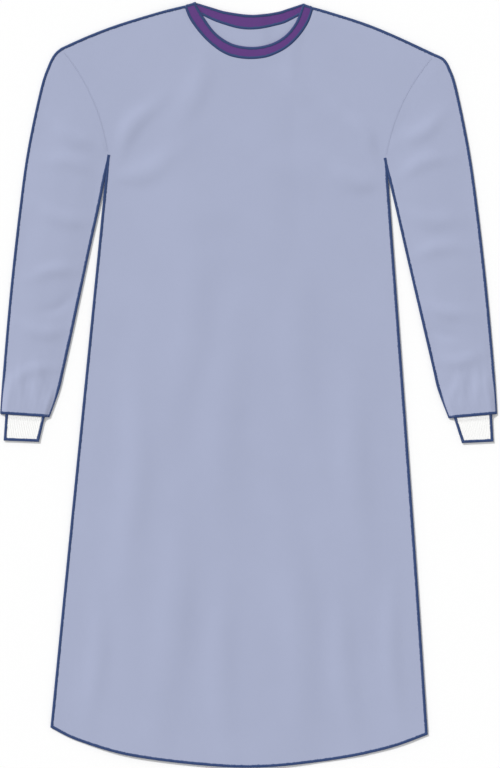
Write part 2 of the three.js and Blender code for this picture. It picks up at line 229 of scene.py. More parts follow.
BACK_NECK_SEAM = [
    (-107.3, 629), (-61.3, 605.4), (-34.1, 595.7), (-15.5, 591), (2, 589.6), (21.3, 591), (42.1, 595.6),
    (62.3, 601.5), (108, 626.5),
]
BACK_NECK_FREE = [
    (-89, 634.5), (-60.1, 625.7), (-39.1, 619.7), (2, 614.1), (27.5, 615.8), (50.1, 619.6),
    (64.4, 624.1), (90, 632.5),
]

# Soft ridges (height above 0) and troughs (below 0) in the front: from x, y to x, y, how far the
# line bows, its width and its height, all in millimetres
FRONT_CREASES = [
    (-222, 372, -150, 470, 12, 14, 3.8),
    (-226, 340, -120, 392, -14, 17, 3),
    (-236, 300, -176, 330, 8, 14, -1.5),
    (216, 366, 150, 455, -10, 13, 3.6),
    (222, 330, 128, 372, 12, 16, 2.8),
    (230, 286, 176, 318, -6, 13, -1.4),
    (-70, 556, -120, 430, 10, 19, 2.2),
    (66, 552, 104, 452, -8, 17, 2.1),
    (-96, 250, -128, -60, 18, 29, 3.3),
    (-20, 120, -36, -250, -16, 32, 3),
    (86, 210, 108, -130, -14, 27, 3),
    (-190, 40, -214, -330, 14, 22, 2.8),
    (176, 20, 196, -300, -12, 24, 3),
    (-118, -200, -150, -560, 12, 26, 3.6),
    (-40, -330, -34, -610, -10, 22, 3),
    (60, -230, 84, -590, 14, 27, 3.6),
    (150, -340, 180, -600, -8, 19, 2.8),
    (-250, -350, -268, -560, 8, 17, 2.5),
    (238, -330, 250, -560, -8, 15, 2.5),
    (-60, -60, 70, -110, 22, 30, -0.8),
    (-140, 150, 20, 190, -18, 34, -0.7),
    (10, 380, 120, 300, 16, 26, 1.5),
    (-130, 330, -10, 270, -14, 27, 1.5),
]
# The same in both backs, kept under the front's own rise
BACK_CREASES = [
    (-152, 440, -122, 300, 8, 18, 0.8),
    (150, 430, 126, 250, -10, 20, 0.85),
    (-62, 330, -92, 120, 12, 24, 0.7),
    (70, 180, 98, -60, -14, 26, 0.85),
    (-172, 60, -198, -220, 12, 22, 0.8),
    (-30, -20, -46, -300, -12, 28, 0.7),
    (170, -60, 188, -330, 10, 24, 0.85),
    (-110, -260, -138, -520, 12, 26, 0.85),
    (60, -240, 82, -540, -10, 26, 0.8),
    (-222, -340, -234, -500, 8, 18, 0.7),
    (200, -400, 214, -540, -6, 18, 0.7),
]
RIGHT_SLEEVE_CREASES = [
    (-250, 400, -330, 440, 10, 13, 2.8),
    (-252, 350, -340, 372, -10, 12, 2.2),
    (-262, 270, -356, 300, 9, 13, 2.5),
    (-280, 190, -366, 176, -8, 11, 2.3),
    (-290, 150, -350, 120, 8, 9, -1.4),
    (-300, 90, -386, 104, 10, 12, 2.3),
    (-320, 28, -390, 10, -7, 10, 2.2),
    (-330, -20, -352, 44, 5, 7, 1.7),
    (-352, -30, -362, 30, -4, 7, 1.7),
    (-376, -30, -378, 36, 4, 7, 1.7),
    (-396, -24, -394, 24, -3, 6, 1.4),
]
LEFT_SLEEVE_CREASES = [
    (246, 404, 322, 452, -10, 13, 2.8),
    (250, 344, 336, 378, 10, 12, 2.3),
    (258, 286, 352, 276, -9, 13, 2.3),
    (272, 214, 360, 226, 8, 12, 2.2),
    (284, 140, 368, 118, -9, 12, 2.5),
    (296, 100, 352, 78, -6, 9, -1.4),
    (312, 40, 388, 54, -8, 11, 2.2),
    (334, -26, 350, 34, -5, 7, 1.7),
    (356, -32, 362, 26, 4, 7, 1.7),
    (378, -30, 376, 34, -4, 7, 1.7),
    (398, -24, 394, 20, 3, 6, 1.4),
]


class GownSizes(bpy.types.PropertyGroup):
    """Sizes of the gown's cloth and stitching."""

    cloth: FloatProperty(
        name="Cloth", description="Thickness of the non-woven cloth", default=0.8 * MM, unit="LENGTH"
    )
    crease_depth: FloatProperty(
        name="Creases", description="Depth of the soft creases, 1 as laid out", default=1.0, min=0, max=2
    )
    rib_height: FloatProperty(
        name="Rib height", description="Height of the cuffs' ribs", default=0.4 * MM, unit="LENGTH"
    )
    band_crown: FloatProperty(
        name="Band crown", description="Rise of the neckband's middle", default=0.4 * MM, unit="LENGTH"
    )
    edge_width: FloatProperty(
        name="Edge stitching", description="Width of the dark edge stitching", default=4.5 * MM, unit="LENGTH"
    )
    stitch_pitch: FloatProperty(
        name="Stitch pitch", description="Distance from one edge stitch to the next", default=1.5 * MM,
        unit="LENGTH",
    )
    columns_fine: IntProperty(
        name="Cloth detail", description="Fine columns in each column of the body", default=6, min=1
    )


class GownColours(bpy.types.PropertyGroup):
    """Colours of the gown's cloth and thread, as linear values."""

    cloth: FloatVectorProperty(
        name="Cloth", description="Grey-blue non-woven cloth", default=(0.373, 0.409, 0.561), subtype="COLOR"
    )
    band: FloatVectorProperty(
        name="Neckband", description="Purple binding tape", default=(0.11, 0.037, 0.207), subtype="COLOR"
    )
    cuff: FloatVectorProperty(
        name="Cuffs", description="White rib knit", default=(0.97, 0.97, 0.96), subtype="COLOR"
    )
    thread: FloatVectorProperty(
        name="Thread", description="Dark blue edge thread", default=(0.025, 0.056, 0.168), subtype="COLOR"
    )
    floor: FloatVectorProperty(
        name="Floor", description="Plain pale floor", default=(0.93, 0.93, 0.93), subtype="COLOR"
    )


def sizes():
    return bpy.context.scene.gown_sizes


def colours():
    return bpy.context.scene.gown_colours


def smooth(share):
    t = np.clip(share, 0, 1)
    return t * t * (3 - 2 * t)


def away_from_edges(share, rise):
    """0 at both ends of a side, rising to 1 over the given share of it."""
    return smooth(np.minimum(share, 1 - share) / rise)


def unit(vectors):
    return vectors / np.maximum(np.linalg.norm(vectors, axis=-1), 1e-9)[..., None]


def spline(rows, per_span=40):
    """Points close together on a smooth line through the rows."""
    p = np.array(rows, float)
    padded = np.vstack([p[:1], p, p[-1:]])
    t = np.linspace(0, 1, per_span, endpoint=False)[:, None]
    out = []
    for k in range(len(p) - 1):
        a, b, c, d = padded[k : k + 4]
        v0 = (c - a) / 2
        v1 = (d - b) / 2
        out.append((2 * b - 2 * c + v0 + v1) * t**3 + (-3 * b + 3 * c - 2 * v0 - v1) * t**2 + v0 * t + b)
    return np.vstack([*out, p[-1:]])


def lengths_along(line):
    """Distance of each point of a line from its start."""
    return np.concatenate([[0], np.cumsum(np.linalg.norm(np.diff(line, axis=0), axis=1))])


def read_off(at, along, values):
    """Values of points that lie at distances along a line, read off at other distances."""
    return np.stack([np.interp(at, along, column) for column in values.T], 1)


def at_shares(line, shares):
    """Points at shares of a line's length."""
    along = lengths_along(line)
    return read_off(np.asarray(shares) * along[-1], along, line)


def y_at(rows, x):
    """The y of a table's smooth line at x, with each row's slope taken from its neighbours."""
    p = np.array(rows, float)
    last = len(p) - 1
    before = p[np.maximum(np.arange(last + 1) - 1, 0)]
    after = p[np.minimum(np.arange(last + 1) + 1, last)]
    slope = (after[:, 1] - before[:, 1]) / (after[:, 0] - before[:, 0])
    k = np.clip(np.searchsorted(p[:, 0], x, side="left") - 1, 0, last - 1)
    width = p[k + 1, 0] - p[k, 0]
    t = np.clip((x - p[k, 0]) / width, 0, 1)
    return (
        (2 * t**3 - 3 * t**2 + 1) * p[k, 1]
        + (t**3 - 2 * t**2 + t) * width * slope[k]
        + (3 * t**2 - 2 * t**3) * p[k + 1, 1]
        + (t**3 - t**2) * width * slope[k + 1]
    )


def neck_line(rows, c):
    """Points of a neck line at columns c, counted from the right shoulder."""
    first, last = rows[0][0], rows[-1][0]
    x = (first + last) / 2 - (last - first) / 2 * np.cos(np.pi * c / NECK_COLUMNS)
    return np.stack([x, y_at(rows, x)], 1)


def armhole(half, share):
    """Points of the armhole seam, from the underarm at 0 to the shoulder at 1."""
    low = np.array(half["side"][0], float)
    high = np.array(half["shoulder"][-1], float)
    across = (high - low) / np.linalg.norm(high - low)
    bow = np.array([abs(across[1]) * -np.sign(low[0]), abs(across[0])])
    control = (low + high) / 2 + bow * 2 * ARMHOLE_BOW
    t = np.asarray(share)[:, None]
    return (1 - t) ** 2 * low + 2 * t * (1 - t) * control + t**2 * high


def grid_inside(low, high, start, end, u, v):
    """A grid of plan points inside four edges: low and high along u, start and end along the whole of v."""
    u = u[:, None, None]
    v = v[None, :, None]
    edges = start[None] * (1 - u) + end[None] * u + low[:, None] * (1 - v) + high[:, None] * v
    low_edge = start[0] * (1 - u) + end[0] * u
    high_edge = start[-1] * (1 - u) + end[-1] * u
    return edges - low_edge * (1 - v) - high_edge * v


def body_grid(neck_rows, columns, rows):
    """Plan points of the body at fine columns and rows, in millimetres."""
    shoulders = {side: spline(half["shoulder"]) for side, half in (("right", RIGHT), ("left", LEFT))}
    left_neck = SHOULDER_COLUMNS + NECK_COLUMNS
    on_right = columns <= SHOULDER_COLUMNS
    on_left = columns >= left_neck
    high = neck_line(neck_rows, np.clip(columns - SHOULDER_COLUMNS, 0, NECK_COLUMNS))
    high[on_right] = at_shares(shoulders["right"], 1 - columns[on_right] / SHOULDER_COLUMNS)
    high[on_left] = at_shares(shoulders["left"], (columns[on_left] - left_neck) / SHOULDER_COLUMNS)
    low = at_shares(spline(HEM), columns / COLUMNS)
    sides = []
    for half in (RIGHT, LEFT):
        line = at_shares(spline(half["side"])[::-1], np.clip(rows / SIDE_ROWS, 0, 1))
        above = rows > SIDE_ROWS
        line[above] = armhole(half, (rows[above] - SIDE_ROWS) / ARMHOLE_ROWS)
        sides.append(line)
    return grid_inside(low, high, *sides, columns / COLUMNS, rows / ROWS)


def creases(plan, lines):
    """Height of soft creases at plan points, in millimetres."""
    total = np.zeros(plan.shape[:-1])
    for x0, y0, x1, y1, bow, width, height in lines:
        start = np.array([x0, y0], float)
        along = np.array([x1, y1], float) - start
        length = np.linalg.norm(along)
        along /= length
        across = np.array([-along[1], along[0]])
        t = (plan - start) @ along / length
        inside = np.clip(t, 0, 1)
        off = (plan - start) @ across - bow * np.sin(np.pi * inside)
        beyond = (t - inside) * length
        rise = CREASE_END + (1 - CREASE_END) * away_from_edges(inside, CREASE_RISE)
        total += height * rise * np.exp(-(off**2 + CREASE_FADE * beyond**2) / width**2)
    return CREASE_MOST * np.tanh(total * sizes().crease_depth / CREASE_MOST)


def fine_steps(first, last, per_step, edge=0.02):
    """Fine coordinates between two columns or rows, with one more close to each end to hold the edge."""
    steps = np.linspace(first, last, int((last - first) * per_step) + 1)
    return np.unique(np.concatenate([steps, [first + edge, last - edge]]))


def mesh_object(name, points, quads, sharp=50):
    """A smooth shaded mesh in metres that rides on the garment's one body."""
    mesh = bpy.data.meshes.new(name)
    mesh.from_pydata(points.reshape(-1, 3).tolist(), [], quads.tolist())
    mesh.polygons.foreach_set("use_smooth", [True] * len(mesh.polygons))
    mesh.set_sharp_from_angle(angle=math.radians(sharp))
    mesh.update()
    obj = bpy.data.objects.new(name, mesh)
    bpy.context.scene.collection.objects.link(obj)
    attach(obj, "root")
    return obj


def cloth_object(name, outer, inner, tube=False, rim_out=0.15):
    """One closed wall between two matching grids of points in millimetres, with its edges rounded."""
    columns, rows = outer.shape[:2]
    i, j = np.arange(columns), np.arange(rows)
    if tube:
        rims = [np.stack([i, np.full(columns, end)], 1) for end in (0, rows - 1)]
    else:
        corners = [
            np.stack([i[:-1], np.zeros(columns - 1, int)], 1),
            np.stack([np.full(rows - 1, columns - 1), j[:-1]], 1),
            np.stack([i[:0:-1], np.full(columns - 1, rows - 1)], 1),
            np.stack([np.zeros(rows - 1, int), j[:0:-1]], 1),
        ]
        rims = [np.concatenate(corners)]
    at = lambda i, j, side: (side * columns + i % columns) * rows + j
    i, j = (index.ravel() for index in np.indices((columns if tube else columns - 1, rows - 1)))
    faces = [
        np.stack([at(i, j, 0), at(i + 1, j, 0), at(i + 1, j + 1, 0), at(i, j + 1, 0)], 1),
        np.stack([at(i, j, 1), at(i, j + 1, 1), at(i + 1, j + 1, 1), at(i + 1, j, 1)], 1),
    ]
    points = [outer.reshape(-1, 3), inner.reshape(-1, 3)]
    after = lambda values: np.roll(values, -1)
    count = 2 * columns * rows
    for k, rim in enumerate(rims):
        reverse = tube and k == 1
        top, bottom = outer[rim[:, 0], rim[:, 1]], inner[rim[:, 0], rim[:, 1]]
        out = unit(np.cross(np.roll(top, -1, 0) - np.roll(top, 1, 0), top - bottom))
        points.append((top + bottom) / 2 + out * (-rim_out if reverse else rim_out))
        m = count + np.arange(len(rim))
        count += len(rim)
        a, b = (at(rim[:, 0], rim[:, 1], side) for side in (0, 1))
        for strip in (np.stack([a, m, after(m), after(a)], 1), np.stack([m, b, after(b), after(m)], 1)):
            faces.append(strip[:, ::-1] if reverse else strip)
    points, faces = outwards(np.vstack(points), np.vstack(faces))
    return mesh_object(name, points * MM, faces)


def outwards(points, quads):
    """The points, and the quads turned so that they face out of the body that they close."""
    a, b, c, d = (points[quads[:, k]] for k in range(4))
    volume = np.einsum("ij,ij->i", a, np.cross(b, c)) + np.einsum("ij,ij->i", a, np.cross(c, d))
    return points, quads[:, ::-1] if volume.sum() < 0 else quads


def lift(plan, z):
    return np.concatenate([plan, np.broadcast_to(z, plan.shape[:-1])[..., None]], -1)


def cloth_mm():
    return sizes().cloth / MM


def edge_mm():
    return sizes().edge_width / MM


def sway(plan, waves):
    """Height of crossing waves at plan points, the first of them 1 high."""
    x, y = plan[..., 0], plan[..., 1]
    return sum(share * np.sin(x / across + y / up + phase) for across, up, phase, share in waves)


def step_up(columns, low, high):
    """0 before one column, 1 after the other, smooth between."""
    return smooth((columns - low) / (high - low))


def inner_back_base(columns):
    return LAYER * (1 - step_up(columns, OUTER_BACK_EDGE, OUTER_BACK_EDGE + 1))


def front_base(columns):
    rise = step_up(columns, SHOULDER_COLUMNS - 3, SHOULDER_COLUMNS)
    fall = step_up(columns, OUTER_BACK_EDGE + 1, OUTER_BACK_EDGE + 5)
    return LAYER + LAYER * rise * (1 - fall)


def panel(name, neck_rows, first, last, base, lines, detail=1.0, loft=0.0, swaying=0.0, under=False):
    """A panel of the body between two columns; under keeps its creases below the front's rise. Gives the
    object, its upper face's grid, its columns and its rows."""
    per_column = max(1, round(sizes().columns_fine * detail))
    columns = fine_steps(first, last, per_column)
    rows = fine_steps(0, ROWS, 2 * per_column)
    plan = body_grid(neck_rows, columns, rows)
    u = columns[:, None] / COLUMNS
    v = rows[None, :] / ROWS
    below_neck = smooth((LOFT_TOP - plan[..., 1]) / LOFT_RISE)
    inside = away_from_edges(u, LOFT_SHARE) * smooth(v / LOFT_SHARE) * below_neck
    near_seam = away_from_edges(u, SIDE_SHARE) * smooth((1 - v) / TOP_SHARE)
    folds = creases(plan, lines)
    folds = folds * (inside if under else np.where(folds > 0, near_seam, inside))
    height = base(columns)[:, None] + loft * inside + folds
    height = height + swaying * near_seam * sway(plan, BODY_WAVES)
    outer = lift(plan, height + WALL)
    inner = lift(plan, height + WALL - cloth_mm())
    return cloth_object(name, outer, inner), outer, columns, rows


def sleeve(name, half, lines):
    """A sleeve in one piece, folded along its outer edge. Gives the object, its upper face and its fold."""
    u = fine_steps(0, 1, SLEEVE_ACROSS, edge=0.004)
    share = fine_steps(0, 1, SLEEVE_ALONG, edge=0.0015)
    clear = np.array([np.sign(half["side"][0][0]) * GAP / 3, 0])
    top = armhole(half, u) + clear
    underarm = at_shares(spline(half["underarm"]), share)
    fold = at_shares(spline(half["sleeve_fold"]), share)
    underarm += (top[0] - underarm[0]) * (1 - share[:, None])
    fold += (top[-1] - fold[0]) * (1 - share[:, None])
    end = underarm[-1] + (fold[-1] - underarm[-1]) * u[:, None]
    plan = grid_inside(top, end, underarm, fold, u, share)
    out = unit(plan[-1] - plan[-3])
    plan[-1] = plan[-1] - out * FOLD_HEIGHT
    plan[-2] = plan[-1] - out * FOLD_HOLD
    across = away_from_edges(u, SLEEVE_EDGE_SHARE)[:, None]
    calm = across * smooth(share / TOP_SHARE)
    loft = SLEEVE_LOFT * away_from_edges(u, LOFT_ACROSS)[:, None] * away_from_edges(share, LOFT_ALONG)
    over_cuff = smooth((share - CUFF_LIFT_FROM) / (CUFF_LIFT_FULL - CUFF_LIFT_FROM))
    towards_cuff = smooth((share - GATHER_FROM) / GATHER_RISE) * np.clip(GATHER_GONE - share, 0, 1)
    gathers = GATHER_HEIGHT * towards_cuff * np.sin(u * GATHER_WAVES)[:, None]
    height = LAYER + loft + CUFF_LIFT * across * over_cuff
    height = height + calm * (creases(plan, lines) + gathers + SLEEVE_SWAY * sway(plan, SLEEVE_WAVES))

    def face(inset):
        """The cloth's face this far in: along below, round the fold, and back on top."""
        radius = FOLD_HEIGHT - inset
        turn = [lift(plan[-1] + out * radius * s, FOLD_HEIGHT - radius * c) for s, c in FOLD_TURN]
        return np.concatenate([lift(plan, inset), np.stack(turn), lift(plan, height + WALL - inset)[::-1]])

    obj = cloth_object(name, face(0.0), face(cloth_mm()))
    return obj, lift(plan, height + WALL), lift(plan[-1] + out * FOLD_HEIGHT, LAYER + WALL)


def cuff_sides(half, along):
    """The two side points of a cuff at distances along it from the sleeve's end."""
    top = np.array(half["cuff_top"], float)
    end = np.array(half["cuff_end"], float)
    share = along[:, None] / cuff_length(half)
    return [a + (b - a) * share for a, b in zip(top, end)]


def cuff_length(half):
    return math.dist(half["cuff_end"][0], half["cuff_top"][0])


def cuff_base(along):
    return LAYER * (1 - smooth((along - 3 * GAP) / (CUFF_INSIDE - 3 * GAP)))


def cuff(name, half):
    """A knit cuff: a flat tube with rounded ribs on its upper face and a turned end."""
    length = cuff_length(half)
    rows = np.linspace(-CUFF_INSIDE, length, CUFF_ALONG)
    along = np.unique(np.concatenate([rows, [length - point for point in CUFF_END_POINTS]]))
    start, stop = cuff_sides(half, along)
    out = unit(stop - start)
    a = start + out * CUFF_HALF
    b = stop - out * CUFF_HALF
    middle = cuff_base(along) + CUFF_HALF
    turned_in = smooth((along - length + CUFF_ROUNDING) / CUFF_ROUNDING)
    round_end = np.sqrt(1 - turned_in * CUFF_CLOSING)
    flat = np.linspace(0, 1, CUFF_ACROSS)
    ribs = np.linspace(0, 1, CUFF_RIBS * RIB_POINTS + 1)
    rib = sizes().rib_height / MM
    rounded = np.abs(np.sin(np.pi * ribs * CUFF_RIBS))[:, None] ** RIB_ROUNDNESS
    top_height = CUFF_HALF - rib + rib * rounded + CUFF_PULL * np.sin(along / CUFF_PULL_LENGTH)

    def face(below, above, radius):
        """The tube's face: along below, round one side, back on top, and round the other side."""
        lower = [lift(a + (b - a) * t, middle - below * round_end) for t in flat]
        right = [lift(b + out * radius * s, middle - radius * c * round_end) for s, c in FOLD_TURN]
        upper = [lift(b + (a - b) * t, middle + rise * round_end) for t, rise in zip(ribs, above)]
        left = [lift(a - out * radius * s, middle + radius * c * round_end) for s, c in FOLD_TURN]
        return np.stack(lower + right + upper + left)

    outer = face(CUFF_HALF, top_height, CUFF_HALF - rib / 2)
    inner = face(GAP / 2, np.full(top_height.shape, GAP / 2), GAP / 2)
    return cloth_object(name, outer, inner, tube=True)


def band_edges(seam_rows, free_rows, c):
    """The seam edge and the free edge of the neckband at columns of the neckline."""
    seam = neck_line(seam_rows, c)
    free = neck_line(free_rows, c)
    return seam + unit(free - seam) * GAP / 2, free


def band_corner(back, front, low, high):
    """Half a turn of the neckband at a shoulder, from its back below to its front on top."""
    radius = (high - low) / 2
    along = unit(front[1] - front[0])[0]
    outward = np.array([-along[1], along[0]])
    outward *= np.sign(outward[1])
    sine = np.sin(BAND_TURN)[:, None]
    share = (BAND_TURN / np.pi)[:, None]
    shift = outward * radius * sine
    seam = back[0] + (front[0] - back[0]) * share + shift + along * BAND_NOTCH * sine
    free = back[1] + (front[1] - back[1]) * share + shift
    normal = np.concatenate([outward * sine, -np.cos(BAND_TURN)[:, None]], 1)
    return seam, free, low + radius * (1 - np.cos(BAND_TURN)), normal


def neckband(name):
    """One strip of folded tape round the neckline. Gives the object, its seam edge, its free edge and its
    face's directions, its stretches on the outer back, front and inner back, and where its folds are."""
    crown = sizes().band_crown / MM
    half = WALL / 2
    front_edges = partial(band_edges, FRONT_NECK_SEAM, FRONT_NECK_FREE)
    back_edges = partial(band_edges, BACK_NECK_SEAM, BACK_NECK_FREE)
    front_height = lambda c: front_base(c + SHOULDER_COLUMNS) + half
    inner_height = lambda c: inner_back_base(c + SHOULDER_COLUMNS) + half
    steps = lambda first, last: np.linspace(first, last, abs(last - first) * BAND_FINE + 1)
    joined = lambda parts: [np.concatenate(values) for values in zip(*parts)]

    def stretch(edges, height, normal):
        seam, free = edges
        return seam, free, np.broadcast_to(height, len(seam)), np.broadcast_to(normal, (len(seam), 3))

    def shoulder(at, to, low, high):
        """The band's end on the back, its turn, and its end on the front, drawn back from the shoulder."""
        inset = (high - low) / 2 + half
        here, there = np.array([at]), np.array([to])
        back, front = (
            [near + unit(far - near) * inset for near, far in zip(edges(here), edges(there))]
            for edges in (back_edges, front_edges)
        )
        turn = band_corner(back, front, low, high)
        return joined([stretch(back, low, DOWN), turn, stretch(front, high, UP)])

    last = NECK_COLUMNS
    out_c = steps(OUTER_BACK_EDGE - SHOULDER_COLUMNS, 1)
    front_c = steps(1, last - 1)
    in_c = steps(last - 1, 2)
    parts = [
        stretch(back_edges(out_c), half, DOWN),
        shoulder(0, 1, half, front_height(0)),
        stretch(front_edges(front_c), front_height(front_c), UP),
        [values[::-1] for values in shoulder(last, last - 1, inner_height(last), front_height(last))],
        stretch(back_edges(in_c), inner_height(in_c), DOWN),
    ]
    seam, free, height, normal = joined(parts)
    raised = crown * (normal[:, 2] > 0.5)[:, None]

    def face(side):
        rows = []
        for share in BAND_ACROSS:
            rise = math.sqrt(1 - (2 * share - 1) ** 2)
            thick = half * (1 - BAND_THINNER * (1 - rise))
            extra = raised * rise if side > 0 else 0
            rows.append(lift(seam + (free - seam) * share, height) + normal * (side * thick + extra))
        return np.stack(rows, 1)

    obj = cloth_object(name, face(1), face(-1), rim_out=0.3)
    _, right, _, left, inner_back = np.cumsum([0, *(len(part[0]) for part in parts[:-1])])
    middle = (inner_back - left) // 2
    turned = middle - 1
    stretches = slice(0, right), slice(right + turned, inner_back - turned), slice(inner_back, None)
    folds = (right + middle, right + 2 * middle), (left + middle, left)
    return obj, lift(seam, height), lift(free, height), normal, stretches, folds


def edge_of(grid, side, keep=slice(None)):
    """Points of one edge of a face's grid, and the flat directions from it into the cloth."""
    edge, near = {
        "start": (grid[0], grid[3]),
        "end": (grid[-1], grid[-4]),
        "low": (grid[:, 0], grid[:, 3]),
        "high": (grid[:, -1], grid[:, -4]),
    }[side]
    edge, near = edge[keep], near[keep]
    return edge, inward_from(edge, near)


def inward_from(edge, near):
    """Level directions at right angles to an edge, on the side of the points near it."""
    along = np.gradient(edge[:, :2], axis=0)
    across = unit(along[:, ::-1] * [-1, 1])
    side = np.sign(np.einsum("ij,ij->i", across, near[:, :2] - edge[:, :2]))
    return lift(across * side[:, None], 0.0)


def carried_on(edge, inward, before=0.0, after=0.0):
    """An edge and its directions, carried straight on past its ends."""
    first = edge[0] + unit(edge[0] - edge[1]) * before
    last = edge[-1] + unit(edge[-1] - edge[-2]) * after
    return np.vstack([first, edge, last]), np.vstack([inward[:1], inward, inward[-1:]])


def flat_profile(width, rise=lambda distance: 0.0):
    """A satin stitch that lies flat: pairs of distance into the cloth and height over its edge."""
    shape = [(width, -0.3), (width - 0.4, 0.12), (width / 2, 0.2), (0.4, 0.12), (0.1, -0.3)]
    return [(distance, height + rise(distance)) for distance, height in shape]


def wrapped_profile(width, depth):
    """A stitch that goes over a cut edge and down it."""
    return [(width, -0.3), (width - 0.4, 0.14), (width / 2, 0.22), (0.3, 0.16), (-0.12, -0.3), (-0.1, -depth)]


def under_profile(width):
    """A thin stitch on a panel's lower face, kept off the surface that the panel lies on."""
    return [(width, 0.05), (width / 2, 0.2), (0.2, 0.2), (-0.1, 0.0)]


def fold_profile(width, radius):
    """A stitch that goes round a folded edge, measured from the fold's outermost line at its top's height."""
    round_part = [
        (radius * (1 - math.sin(a)) - 0.15 * math.sin(a), -radius * (1 - math.cos(a)) + 0.15 * math.cos(a))
        for a in (0.15, 0.75, 1.35, 1.9)
    ]
    return [(width, -0.3), (width - 0.4, 0.14), *round_part]


def stitch_paths(edge, inward, profile, pitch, up=UP, narrow=0.0, slant=0.3, seed=1):
    """Paths of the stitches along an edge, and the direction along the edge at each. Where two seams run
    into one, narrow is the distance from that end over which the stitches grow to their full width."""
    along = lengths_along(edge)
    count = max(2, int(along[-1] / pitch))
    at = (np.arange(count) + 0.5) / count * along[-1]
    pick = partial(read_off, at, along)
    base = pick(edge)
    into = unit(pick(inward))
    above = unit(pick(np.broadcast_to(up, edge.shape)))
    tangent = unit(np.cross(above, into))
    vary = np.random.default_rng(seed).normal(0, STITCH_VARY, (count, 2))
    widest = max(d for d, _ in profile)
    from_end = at if narrow >= 0 else along[-1] - at
    grown = smooth(from_end / max(abs(narrow), pitch))
    reach = MERGE_SHARE + (1 - MERGE_SHARE) * grown if narrow else 1.0
    path = []
    for distance, height in profile:
        far = distance * reach * (1 + vary[:, 0] * distance / widest)
        lean = slant * pitch * (1 - 2 * distance / widest) / 2 + vary[:, 1] * LEAN_VARY
        path.append(base + into * far[:, None] + above * height + tangent * lean[:, None])
    return np.stack(path, 1), tangent


def thread_mesh(paths, tangents, wide, high):
    """Points and quads of short threads along paths, with flattened sections and closed ends."""
    count, length = paths.shape[:2]
    run = unit(np.gradient(paths, axis=1))
    side = np.broadcast_to(tangents[:, None], run.shape)
    width = unit(side - run * np.einsum("kpi,kpi->kp", run, side)[..., None])
    up = np.cross(run, width)
    taper = np.ones(length)
    taper[[0, -1]] = THREAD_END
    angle = np.linspace(0, 2 * np.pi, THREAD_SIDES, endpoint=False)[:, None]
    ring = width[:, :, None] * np.cos(angle) * wide + up[:, :, None] * np.sin(angle) * high
    points = paths[:, :, None] + ring * taper[:, None, None]
    k, p, s = (index.ravel() for index in np.indices((count, length - 1, THREAD_SIDES)))
    at = lambda k, p, s: (k * length + p) * THREAD_SIDES + s % THREAD_SIDES
    quads = [np.stack([at(k, p, s), at(k, p, s + 1), at(k, p + 1, s + 1), at(k, p + 1, s)], 1)]
    k = np.arange(count)
    for p, turn in ((0, 1), (length - 1, -1)):
        for s in (0, THREAD_SIDES // 2):
            quads.append(np.stack([at(k, p, s + step) for step in range(4)], 1)[:, ::turn])
    return outwards(points.reshape(-1, 3), np.vstack(quads))


def finished_thread(name, points, quads, material):
    obj = mesh_object(name, points * MM, quads, sharp=80)
    obj.data.materials.append(material)
    return obj


def thread_object(name, runs, material, high=THREAD_HIGH):
    """One object from many runs of stitches, each with its edge, directions, profile and face's direction."""
    pitch = sizes().stitch_pitch / MM
    wide = pitch * 0.5
    points, quads, total = [], [], 0
    for seed, run in enumerate(runs):
        paths, tangents = stitch_paths(*run[:3], pitch, *run[3:], seed=seed)
        p, q = thread_mesh(paths, tangents, wide, high)
        points.append(p)
        quads.append(q + total)
        total += len(p)
    return finished_thread(name, np.vstack(points), np.vstack(quads), material)


def running_stitches(name, line, material, length=2.6, gap=0.9, radius=0.22):
    """A row of small straight stitches along a line of points on the cloth."""
    along = lengths_along(line)
    starts = np.arange(gap, along[-1] - length, length + gap)
    rises = [(0, -0.08), (0.15, 0.22), (0.5, 0.3), (0.85, 0.22), (1, -0.08)]
    paths = np.stack([read_off(starts + length * s, along, line) + [0, 0, rise] for s, rise in rises], 1)
    run = paths[:, -1] - paths[:, 0]
    across = unit(lift(run[:, 1::-1] * [-1, 1], 0.0))
    return finished_thread(name, *thread_mesh(paths, across, radius, radius), material)


def node_group(name, numbers, outputs):
    """An empty shader node group with a Vector input, numbers with their defaults, and named outputs."""
    tree = bpy.data.node_groups.new(name, "ShaderNodeTree")
    tree.interface.new_socket(name="Vector", in_out="INPUT", socket_type="NodeSocketVector")
    for label, value in numbers.items():
        socket = tree.interface.new_socket(name=label, in_out="INPUT", socket_type="NodeSocketFloat")
        socket.default_value = value
    for label in outputs:
        tree.interface.new_socket(name=label, in_out="OUTPUT", socket_type="NodeSocketFloat")
    return tree, tree.nodes.new("NodeGroupInput").outputs, tree.nodes.new("NodeGroupOutput").inputs


def fill_in(tree, inputs, values):
    """Links or sets a node's inputs."""
    for socket, source in dict(values).items():
        if isinstance(source, bpy.types.NodeSocket):
            tree.links.new(source, inputs[socket])
        else:
            inputs[socket].default_value = source


def add(tree, kind, links=(), **settings):
    """A node with its settings, and its inputs linked or set."""
    made = tree.nodes.new(kind)
    for key, value in settings.items():
        setattr(made, key, value)
    fill_in(tree, made.inputs, links)
    return made


def maths(tree, operation, *sources, clamp=False):
    return add(tree, "ShaderNodeMath", enumerate(sources), operation=operation, use_clamp=clamp).outputs[0]


# Added before a fraction is taken, to keep clear of zero
WHOLE_TURNS = 1000.0


def scaled(tree, vector, spacing):
    """A vector divided by a spacing in metres."""
    inverse = maths(tree, "DIVIDE", 1.0, spacing)
    return add(tree, "ShaderNodeVectorMath", {0: vector, 3: inverse}, operation="SCALE").outputs[0]


